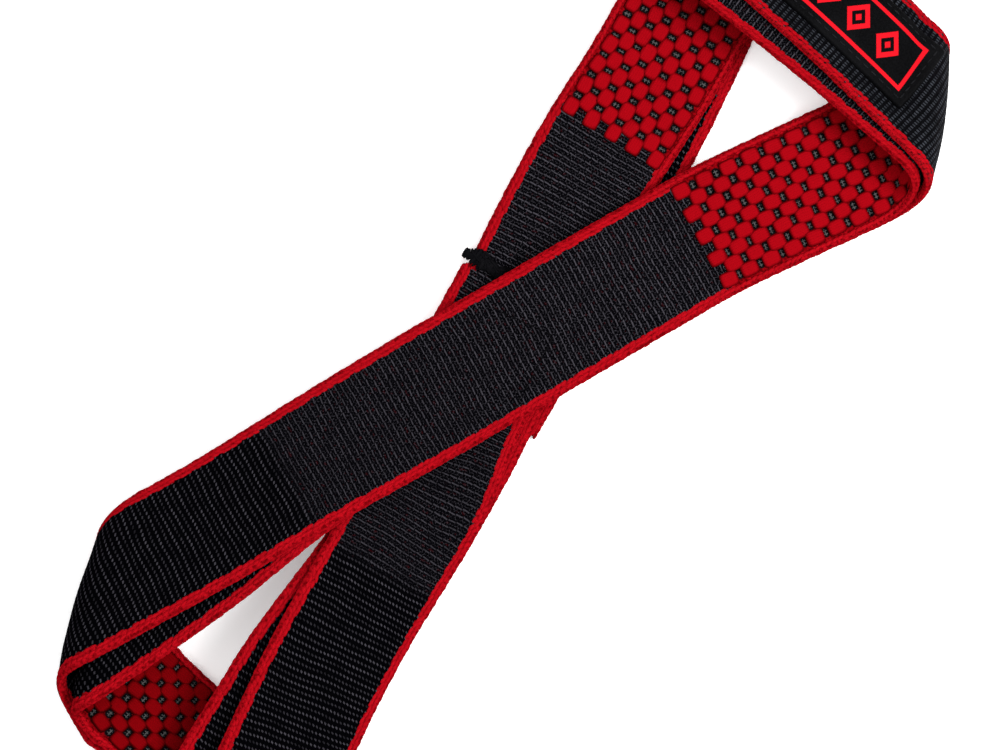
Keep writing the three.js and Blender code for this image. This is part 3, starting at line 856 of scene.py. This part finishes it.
# Meshes
def new_piece(name, points, faces, materials=(), slots=None, flat=()):
    """A piece from points in strap millimetres."""
    mesh = bpy.data.meshes.new(name)
    mesh.from_pydata([tuple(p) for p in band.metres(points)], [], faces)
    for material in materials:
        mesh.materials.append(material)
    mesh.polygons.foreach_set("use_smooth", np.ones(len(mesh.polygons), bool))
    if slots is not None:
        mesh.polygons.foreach_set("material_index", np.asarray(slots, np.int32))
    for index in flat:
        mesh.polygons[index].use_smooth = False
    mesh.validate()
    mesh.update()
    piece = bpy.data.objects.new(name, mesh)
    bpy.context.scene.collection.objects.link(piece)
    return piece


def set_weave_place(piece, places):
    """Gives each face corner its yarn length and place across, in millimetres."""
    mesh = piece.data
    layer = mesh.uv_layers.new(name="weave")
    corners = np.empty(len(mesh.loops), np.int32)
    mesh.loops.foreach_get("vertex_index", corners)
    layer.data.foreach_set("uv", np.asarray(places, np.float32)[corners].ravel())


def soft_step(x, low, high):
    t = np.clip((x - low) / (high - low), 0, 1)
    return t * t * (3 - 2 * t)


def within(s, zone, ease):
    """1 inside a stretch of the band and 0 outside it, eased over its ends."""
    return soft_step(s, zone[0] - ease, zone[0] + ease) * soft_step(-s, -zone[1] - ease, -zone[1] + ease)


def grip_depth(s, t, zone):
    """How far the ground of a grip is sunk below the webbing's face."""
    ends = within(s, (zone[0] + GRIP_CELL, zone[1] - GRIP_CELL), 1.2)
    edge = np.minimum(t, WIDTH - t)
    return GRIP_SINK * ends * soft_step(edge, 1.8, 3.2)


def make_webbing(materials):
    """The whole band as one closed mesh, its slots by zone and face."""
    s, t = np.meshgrid(band.s, band.t, indexing="ij")
    edge = np.minimum(t, WIDTH - t)
    half = HALF * np.sqrt(1 - (1 - np.minimum(edge / SELVAGE_ROUND, 1)) ** 2)
    first = band.rows + band.normals * (half - grip_depth(s, t, GRIP_UPPER))[..., None]
    second = band.rows - band.normals * (half - grip_depth(s, t, GRIP_LOWER))[..., None]
    columns = len(band.t)
    rings = np.concatenate([first, second[:, -2:0:-1]], axis=1)
    ring_t = np.concatenate([band.t, band.t[-2:0:-1]])
    size = rings.shape[1]
    count = len(rings)
    faces, slots = [], []
    slot_of = {name: slot for slot, name in enumerate(materials)}
    label_turn = (band.stretches[LABEL_TURN][0] + ZONE_EASE, band.stretches[LABEL_TURN][1] - ZONE_EASE)

    def zone_of(s_mid, on_first):
        grip = GRIP_UPPER if on_first else GRIP_LOWER
        if grip[0] + GRIP_CELL < s_mid < grip[1] - GRIP_CELL:
            return slot_of["grip"]
        if not on_first and label_turn[0] < s_mid < label_turn[1]:
            return slot_of["label_side"]
        return slot_of["plain"]

    for i in range(count - 1):
        middle = (band.s[i] + band.s[i + 1]) / 2
        pair = [zone_of(middle, True), zone_of(middle, False)]
        for k in range(size):
            a, b = i * size + k, i * size + (k + 1) % size
            faces.append((a, b, b + size, a + size))
            slots.append(pair[0] if k < columns - 1 else pair[1])
    last = (count - 1) * size
    sides = len(faces)
    for k in range(columns - 1):
        corners = (k, k + 1, size - k - 1, size - k)
        if k == 0:
            corners = (0, 1, size - 1)
        elif k == columns - 2:
            corners = (k, k + 1, size - k)
        faces.append(tuple(reversed(corners)))
        faces.append(tuple(last + c for c in corners))
        slots += [slot_of["cut"], slot_of["cut"]]
    flat = range(sides, len(faces))
    piece = new_piece("webbing_band", rings.reshape(-1, 3), faces, materials.values(), slots, flat)
    places = np.stack(np.broadcast_arrays(band.s[:, None], ring_t[None, :]), axis=-1).reshape(-1, 2)
    set_weave_place(piece, places)
    share = np.max([within(band.s, zone, ZONE_EASE) for zone in OUTER_ZONES], axis=0)
    layer = piece.data.attributes.new("loop", "FLOAT", "POINT")
    layer.data.foreach_set("value", np.repeat(share, size).astype(np.float32))
    return piece


# Repeated pieces, set out by Geometry Nodes
def bead_tree():
    """Sets a rounded bead on every point, turned by the point's own along and up vectors."""
    tree = bpy.data.node_groups.new("beads", "GeometryNodeTree")
    sides = tree.interface
    sides.new_socket("Geometry", in_out="OUTPUT", socket_type="NodeSocketGeometry")
    sides.new_socket("Geometry", in_out="INPUT", socket_type="NodeSocketGeometry")
    for name in ("Length", "Width", "Height", "Squareness"):
        sides.new_socket(name, in_out="INPUT", socket_type="NodeSocketFloat")
    sides.new_socket("Smoothness", in_out="INPUT", socket_type="NodeSocketInt")
    sides.new_socket("Finish", in_out="INPUT", socket_type="NodeSocketMaterial")

    def add(kind, settings=None, sockets=None):
        node = tree.nodes.new(kind)
        for key, value in (settings or {}).items():
            setattr(node, key, value)
        for key, value in (sockets or {}).items():
            if isinstance(value, bpy.types.NodeSocket):
                tree.links.new(value, node.inputs[key])
            else:
                node.inputs[key].default_value = value
        return node

    given = add("NodeGroupInput").outputs
    cube = add("GeometryNodeMeshCube", None, {"Size": (1, 1, 1)}).outputs["Mesh"]
    rounded = add("GeometryNodeSubdivisionSurface", None, {
        "Mesh": cube, "Level": given["Smoothness"], "Edge Crease": given["Squareness"]}).outputs[0]
    smoothed = add("GeometryNodeSetShadeSmooth", None, {0: rounded}).outputs[0]
    place = add("ShaderNodeSeparateXYZ", None, {0: add("GeometryNodeInputPosition").outputs[0]})
    marked = smoothed
    for name, axis, gain, start in (("lie", 0, 2.0, 0.0), ("side", 1, 2.0, 0.0), ("crown", 2, 1.6, 0.5)):
        value = add("ShaderNodeMath", {"operation": "MULTIPLY_ADD"},
                    {0: place.outputs[axis], 1: gain, 2: start})
        marked = add("GeometryNodeStoreNamedAttribute", {"data_type": "FLOAT", "domain": "POINT"},
                     {"Geometry": marked, "Name": name, "Value": value.outputs[0]}).outputs[0]
    size = add("ShaderNodeCombineXYZ", None, {0: given["Length"], 1: given["Width"], 2: given["Height"]})
    bead = add("GeometryNodeTransform", None, {"Geometry": marked, "Scale": size.outputs[0]}).outputs[0]
    named = {
        name: add("GeometryNodeInputNamedAttribute", {"data_type": kind}, {"Name": name}).outputs[0]
        for name, kind in (("along", "FLOAT_VECTOR"), ("up", "FLOAT_VECTOR"), ("size", "FLOAT_VECTOR"))
    }
    turn = add("FunctionNodeAxesToRotation", {"primary_axis": "Z", "secondary_axis": "X"},
               {"Primary Axis": named["up"], "Secondary Axis": named["along"]}).outputs[0]
    set_out = add("GeometryNodeInstanceOnPoints", None, {
        "Points": given["Geometry"], "Instance": bead, "Rotation": turn, "Scale": named["size"]}).outputs[0]
    real = add("GeometryNodeRealizeInstances", None, {0: set_out}).outputs[0]
    finished = add("GeometryNodeSetMaterial", None,
                   {"Geometry": real, "Material": given["Finish"]}).outputs[0]
    add("NodeGroupOutput", None, {0: finished})
    return tree


BEADS = bead_tree()


def scatter(name, points, along, up, material, size, squareness, smoothness, sizes=None):
    """One piece of many beads. size is a bead's length, width and height in millimetres."""
    count = len(points)
    mesh = bpy.data.meshes.new(name)
    mesh.from_pydata([tuple(p) for p in band.metres(points)], [], [])
    scales = np.ones((count, 3)) if sizes is None else sizes
    for key, values in (("along", along), ("up", up), ("size", scales)):
        layer = mesh.attributes.new(key, "FLOAT_VECTOR", "POINT")
        layer.data.foreach_set("vector", np.asarray(values, np.float32).ravel())
    layer = mesh.attributes.new("tint", "FLOAT", "POINT")
    layer.data.foreach_set("value", CHANCE.uniform(0, 1, count).astype(np.float32))
    carrier = bpy.data.objects.new(name + "_points", mesh)
    bpy.context.scene.collection.objects.link(carrier)
    modifier = carrier.modifiers.new("beads", "NODES")
    modifier.node_group = BEADS
    given = dict(zip(("Length", "Width", "Height"), (v / 1000 for v in size)))
    given |= {"Squareness": squareness, "Smoothness": smoothness, "Finish": material}
    for socket in BEADS.interface.items_tree:
        if socket.in_out == "INPUT" and socket.name in given:
            modifier[socket.identifier] = given[socket.name]
    graph = bpy.context.evaluated_depsgraph_get()
    solid = bpy.data.meshes.new_from_object(carrier.evaluated_get(graph))
    bpy.data.objects.remove(carrier)
    solid.name = name
    piece = bpy.data.objects.new(name, solid)
    bpy.context.scene.collection.objects.link(piece)
    return piece


CHANCE = np.random.default_rng(8)


def turned(along, port, degrees):
    angle = np.radians(degrees)
    return along * np.cos(angle)[:, None] + port * np.sin(angle)[:, None]


# A selvage's rows of floats: inset from the edge, height over the middle surface, slant in degrees,
# phase in steps, and length, width and thickness as shares of one float
FloatRow = namedtuple("FloatRow", "inset height slant phase long wide thick")
SELVAGE_FLOAT = (3.3, 1.3, 1.0)
SELVAGE_STEP = 2.0
SELVAGE_TOOTH = 0.4
SELVAGE_ROWS = [
    FloatRow(0.35, 0.0, 4, 0.0, 1.15, 1.25, 1.4),
    FloatRow(1.35, 0.92, 13, 0.35, 1.15, 1.3, 1.0),
    FloatRow(1.35, -0.92, 13, 0.35, 1.15, 1.3, 1.0),
    FloatRow(2.3, 1.02, 9, 0.8, 1.15, 1.2, 0.85),
    FloatRow(2.3, -1.02, 9, 0.8, 1.15, 1.2, 0.85),
]


def selvage(name, starboard, material):
    """One red edge of the band: slanting floats in rows on both faces, and a row on the rim."""
    s = np.arange(0.7, band.length - 0.7, SELVAGE_STEP)
    parts = []
    for row in SELVAGE_ROWS:
        at = s + row.phase * SELVAGE_STEP + CHANCE.normal(0, 0.07, len(s))
        teeth = np.arange(len(s)) // 2 % 2 * 0.7 + 0.3 * CHANCE.uniform(0, 1, len(s))
        kept = (at > 0.4) & (at < band.length - 0.4)
        inner = row.inset > 2
        if inner:
            zone = GRIP_UPPER if row.height > 0 else GRIP_LOWER
            kept &= (at < zone[0]) | (at > zone[1])
        at, teeth = at[kept], teeth[kept]
        t = row.inset + CHANCE.normal(0, 0.06, len(at)) + SELVAGE_TOOTH * teeth * inner
        if starboard:
            t = WIDTH - t
        along, port, up = band.axes(at, np.clip(t, 0, WIDTH))
        points = band.at(at, t, row.height)
        outward = -port if starboard else port
        sense = (-1 if starboard else 1) * (1 if row.height >= 0 else -1)
        lie = turned(along, port, np.full(len(at), row.slant * sense) + CHANCE.normal(0, 4, len(at)))
        raised = outward
        if row.height:
            raised = up * np.sign(row.height) + outward * (0.05 if inner else 0.35)
        scale = np.array([row.long, row.wide, row.thick]) * CHANCE.uniform(0.93, 1.07, (len(at), 3))
        parts.append((points, lie, raised, scale))
    points, lie, raised, scale = (np.concatenate(group) for group in zip(*parts))
    return scatter(name, points, lie, raised, material, SELVAGE_FLOAT, 0.0, 1, scale)


NUB = (5.7, 4.7, 1.7)
NUB_SUNK = 0.3


def grip(name, zone, face, material):
    """The nubs of one grip, on every other cell of a checkerboard."""
    spots = []
    first = math.ceil((zone[0] - GRIP_UPPER[0]) / GRIP_CELL)
    last = math.floor((zone[1] - GRIP_UPPER[0]) / GRIP_CELL)
    for i in range(first, last):
        for k in range(GRIP_ROWS):
            if (i + k) % 2 == 0:
                spots.append((GRIP_UPPER[0] + (i + 0.5) * GRIP_CELL, GRIP_EDGE + (k + 0.5) * GRIP_ROW))
    spots = np.array(spots) + CHANCE.normal(0, 0.06, (len(spots), 2))
    along, port, up = band.axes(spots[:, 0], spots[:, 1])
    points = band.at(spots[:, 0], spots[:, 1], face * (HALF - NUB_SUNK))
    lie = turned(along, port, CHANCE.normal(0, 3, len(spots)))
    scale = CHANCE.uniform(0.95, 1.05, (len(spots), 3))
    return scatter(name, points, lie, up * face, material, NUB, 0.95, 2, scale)


def stitches(name, paths, material, length, gap, height, width, face=1):
    """Sewn thread along paths on the band, each a list of (yarn length, place across)."""
    spots, ways = [], []
    for path in paths:
        for a, b in zip(path, path[1:]):
            a, b = np.array(a), np.array(b)
            span = np.linalg.norm(b - a)
            count = max(1, round(span / (length + gap)))
            for n in range(count):
                spots.append(a + (b - a) * (n + 0.5) / count)
                ways.append((b - a) / span)
    spots, ways = np.array(spots), np.array(ways)
    along, port, up = band.axes(spots[:, 0], spots[:, 1])
    points = band.at(spots[:, 0], spots[:, 1], face * (HALF + height))
    lie = along * ways[:, :1] - port * ways[:, 1:]
    return scatter(name, points, lie, up * face, material, (length * 1.25, width, width), 0.1, 1)


def fine_at_ends(size, steps):
    """Places across a size, from minus half to half, close together at both ends."""
    near_end = np.concatenate([[0, 0.08, 0.3, 0.7], np.linspace(1.1, size / 2, steps)])
    return np.unique(np.concatenate([near_end, size - near_end])) - size / 2


def label_patch(material):
    """The rounded slab of the label on the outer face of the end turn above the strands."""
    u, v = np.meshgrid(fine_at_ends(LABEL_LONG, 22), fine_at_ends(LABEL_WIDE, 12), indexing="ij")
    half_wide = LABEL_WIDE / 2
    from_end = LABEL_LONG / 2 - np.abs(u)
    into_corner = np.maximum(LABEL_CORNER - from_end, 0)
    cut = LABEL_CORNER - np.sqrt(np.maximum(LABEL_CORNER**2 - into_corner**2, 0))
    across = v * (half_wide - cut) / half_wide
    inset = np.minimum(from_end, half_wide - np.abs(v))
    top = LABEL_THICK * np.sqrt(1 - (1 - np.minimum(inset / LABEL_EDGE, 1)) ** 2)
    s = (label_centre[0] + u).ravel()
    t = (label_centre[1] + across).ravel()
    upper = band.at(s, t, -(HALF + 0.02 + top.ravel()))
    lower = band.at(s, t, -(HALF - 0.12))
    n, m = u.shape
    base = n * m
    faces = []
    for i in range(n - 1):
        for j in range(m - 1):
            a, b, c, d = i * m + j, i * m + j + 1, (i + 1) * m + j + 1, (i + 1) * m + j
            faces.append((a, d, c, b))
            faces.append((base + a, base + b, base + c, base + d))
    border = [i * m for i in range(n)] + [(n - 1) * m + j for j in range(1, m)]
    border += [i * m + m - 1 for i in range(n - 2, -1, -1)] + [j for j in range(m - 2, 0, -1)]
    for a, b in zip(border, border[1:] + border[:1]):
        faces.append((b, a, base + a, base + b))
    piece = new_piece("label_patch_slab", np.concatenate([upper, lower]), faces, [material])
    places = np.stack([u.ravel(), across.ravel()], axis=1)
    set_weave_place(piece, np.concatenate([places, places]))
    return piece


def facing_out(piece):
    """Turns a closed mesh's faces outwards if they lie inwards."""
    mesh = piece.data
    mesh.calc_loop_triangles()
    v = np.array([p.co for p in mesh.vertices])
    tri = np.array([t.vertices for t in mesh.loop_triangles])
    volume = np.einsum("ij,ij->i", v[tri[:, 0]], np.cross(v[tri[:, 1]], v[tri[:, 2]])).sum() / 6
    if volume < 0:
        mesh.flip_normals()


# Dressing
zones = {
    "plain": band_weave("band_weave"),
    "grip": grip_ground("grip_ground"),
    "label_side": label_side_weave("label_side_weave"),
    "cut": dark_thread("cut_end", *CUT_END, 0.02),
}
webbing = make_webbing(zones)
facing_out(webbing)

selvage_red = red_thread("selvage_red", RED_SHADE, RED_YARN, 1.5, 0.6)
nub_red = red_thread("nub_red", NUB_ROOT, RED_BRIGHT, 3.0, 0.85, square=True)
# The lower grip's nubs get a darker copy of the nub red: painted shade, as they lie inside the lower loop
shaded_red = red_thread("shaded_nub_red", NUB_ROOT_SHADED, RED_SHADED, 3.0, 0.85, square=True)
port_selvage = selvage("selvage_port", False, selvage_red)
starboard_selvage = selvage("selvage_starboard", True, selvage_red)
upper_grip = grip("grip_upper", GRIP_UPPER, 1, nub_red)
lower_grip = grip("grip_lower", GRIP_LOWER, -1, shaded_red)

label_centre = (sum(band.stretches[LABEL_TURN]) / 2 + LABEL_SHIFT, LABEL_MARGIN + LABEL_WIDE / 2)
patch = label_patch(moulded_patch("patch_rubber"))
facing_out(patch)
black_thread = dark_thread("black_thread", *SEWING_THREAD, 0.03)
seam_long, seam_wide = LABEL_LONG / 2 - LABEL_SEAM_INSET, LABEL_WIDE / 2 - LABEL_SEAM_INSET
seam = [(label_centre[0] + a * seam_long, label_centre[1] + b * seam_wide)
        for a, b in ((-1, -1), (1, -1), (1, 1), (-1, 1), (-1, -1))]
patch_stitches = stitches("label_patch_stitches", [seam], black_thread, 2.3, 0.8,
                          LABEL_THICK + 0.08, 0.55, -1)

# The bar tack: its width, its clearance to the cut end, its ends on the strand, and one stitch
TACK_WIDE = 6.0
TACK_CLEAR = 0.35
TACK_FROM = -19.4
TACK_TO = 20.7
TACK_STITCH = (6.8, 0.85, 0.7)


def bar_tack(material):
    """Close zigzag thread across the strand just past the band's cut end, over its edge."""
    start, along = crossing_knot("B", BAND_END + TACK_CLEAR + TACK_WIDE / 2)
    left = 1j * along
    low = FLOOR_PLY + PITCH + HALF
    points, lies, ups, scale = [], [], [], []

    def lay(place, rise, way, up, size):
        points.append((place.real, place.imag, rise))
        lies.append((way.real, way.imag, 0))
        ups.append(up)
        scale.append(size)

    def swell(side):
        return 0.2 * math.sin(side * 0.8) + 0.2 * math.sin(side * 0.33 + 1)

    for rise in (0.3, 0.65, 0.95):
        for n, side in enumerate(np.arange(TACK_FROM, TACK_TO, 0.5)):
            way = along * complex(1, CHANCE.normal(0.14 * (1 if n % 2 else -1), 0.16))
            bend = CHANCE.normal(0, 0.25) + 0.55 * math.sin(side * 0.42 + 0.8)
            shift = left * (side + CHANCE.normal(0, 0.15)) + along * bend
            breadth = CHANCE.uniform(0.62, 0.85) + 0.16 * math.sin(side * 0.62 + 4.2)
            breadth *= math.sqrt(1 - clamp((side - 16.5) / 5.2) ** 2)
            lay(start + shift, low + rise + swell(side) * rise, way, (0, 0, 1),
                (breadth, CHANCE.uniform(0.8, 1.25), 1))
    for side in np.arange(-18, 19.5, 1.1):
        way = along * complex(0.35, CHANCE.choice([-1, 1]) * CHANCE.uniform(0.7, 1.2))
        shift = left * (side + CHANCE.normal(0, 0.4)) + along * CHANCE.normal(0, 1.2)
        lay(start + shift, low + 1.2 + swell(side), way, (0, 0, 1), (0.55, 0.9, 0.8))
    for n, drop in enumerate(np.arange(0.0, 3.6, 0.4)):
        way = along * complex(1, 0.1 * (1 if n % 2 else -1))
        shift = left * (20.8 + 0.5 * math.sin(drop)) + along * CHANCE.normal(0, 0.15)
        lay(start + shift, low + 0.8 - drop, way, (left.real, left.imag, 0.2),
            (CHANCE.uniform(0.42, 0.5), 1, 1.6))
    return scatter("bar_tack_thread", np.array(points), np.array(lies), np.array(ups), material,
                   TACK_STITCH, 0.25, 2, np.array(scale))


# The sewn box beside the tack: its lines in plan on the top ply
BOX_LINES = [
    [(4.2, 13.8), (10.6, -6.6), (-0.6, -10.6), (-13.5, -13.7)],
    [(-36.4, 8.8), (-29.0, 7.5)],
]


def on_top_ply(x, y):
    """The yarn length and place across of a plan point on the band's top leg."""
    low, high = band.stretches[A_HIGH]
    leg = (band.s > low) & (band.s < high)
    apart = np.hypot(band.rows[leg, :, 0] - x, band.rows[leg, :, 1] - y)
    i, j = np.unravel_index(apart.argmin(), apart.shape)
    return band.s[leg][i], band.t[j]


tack_thread = dark_thread("tack_thread", *TACK_THREAD, 0.0)
tack = bar_tack(tack_thread)
box_stitches = stitches("box_stitches", [[on_top_ply(*point) for point in line] for line in BOX_LINES],
                        tack_thread, 2.2, 0.9, 0.05, 0.6)

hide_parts("webbing")
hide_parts("label_patch")
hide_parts("bar_tack")
pieces = {
    "webbing": [webbing, port_selvage, starboard_selvage, upper_grip, lower_grip],
    "label_patch": [patch, patch_stitches],
    "bar_tack": [tack, box_stitches],
}
for slot_name, members in pieces.items():
    for piece in members:
        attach(piece, "root")

# Floor, lights and camera. The camera looks straight down, turned as the photograph is.
CAMERA_PLACE = (-8.607, -3.502, 1100)
CAMERA_TURN = -44.5
CAMERA_LENS = 129.5
WORLD_LIGHT = 0.42

lowest = min((piece.matrix_world @ Vector(corner)).z
             for group in pieces.values() for piece in group for corner in piece.bound_box)
bpy.ops.mesh.primitive_plane_add(size=6, location=(0, 0, min(lowest, 0) - 0.0001))
floor = bpy.context.object
floor.name = "pale_floor"
floor.data.materials.append(pale_floor("pale_floor"))


def add_light(name, place, aim, size, power):
    light = bpy.data.lights.new(name, "AREA")
    light.size = size
    light.energy = power
    lamp = bpy.data.objects.new(name, light)
    lamp.location = place
    lamp.rotation_euler = (Vector(aim) - Vector(place)).to_track_quat("-Z", "Y").to_euler()
    bpy.context.scene.collection.objects.link(lamp)


add_light("key_light", (0.55, -0.42, 0.95), (0.05, 0, 0), 0.5, 16)
add_light("fill_light", (-0.5, 0.7, 1.2), (0, 0, 0), 1.2, 6)
add_light("top_light", (0.1, 0.0, 1.7), (0, 0, 0), 1.6, 19)
world = bpy.data.worlds.new("studio")
world.use_nodes = True
world.node_tree.nodes["Background"].inputs["Color"].default_value = (1, 1, 1, 1)
world.node_tree.nodes["Background"].inputs["Strength"].default_value = WORLD_LIGHT
bpy.context.scene.world = world
bpy.context.scene.view_settings.view_transform = "Standard"

lens = bpy.data.cameras.new("camera")
lens.sensor_width = 36
lens.lens = CAMERA_LENS
camera = bpy.data.objects.new("camera", lens)
camera.location = band.metres(CAMERA_PLACE)
camera.rotation_euler = Euler((0, 0, math.radians(CAMERA_TURN)))
bpy.context.scene.collection.objects.link(camera)
bpy.context.scene.camera = camera
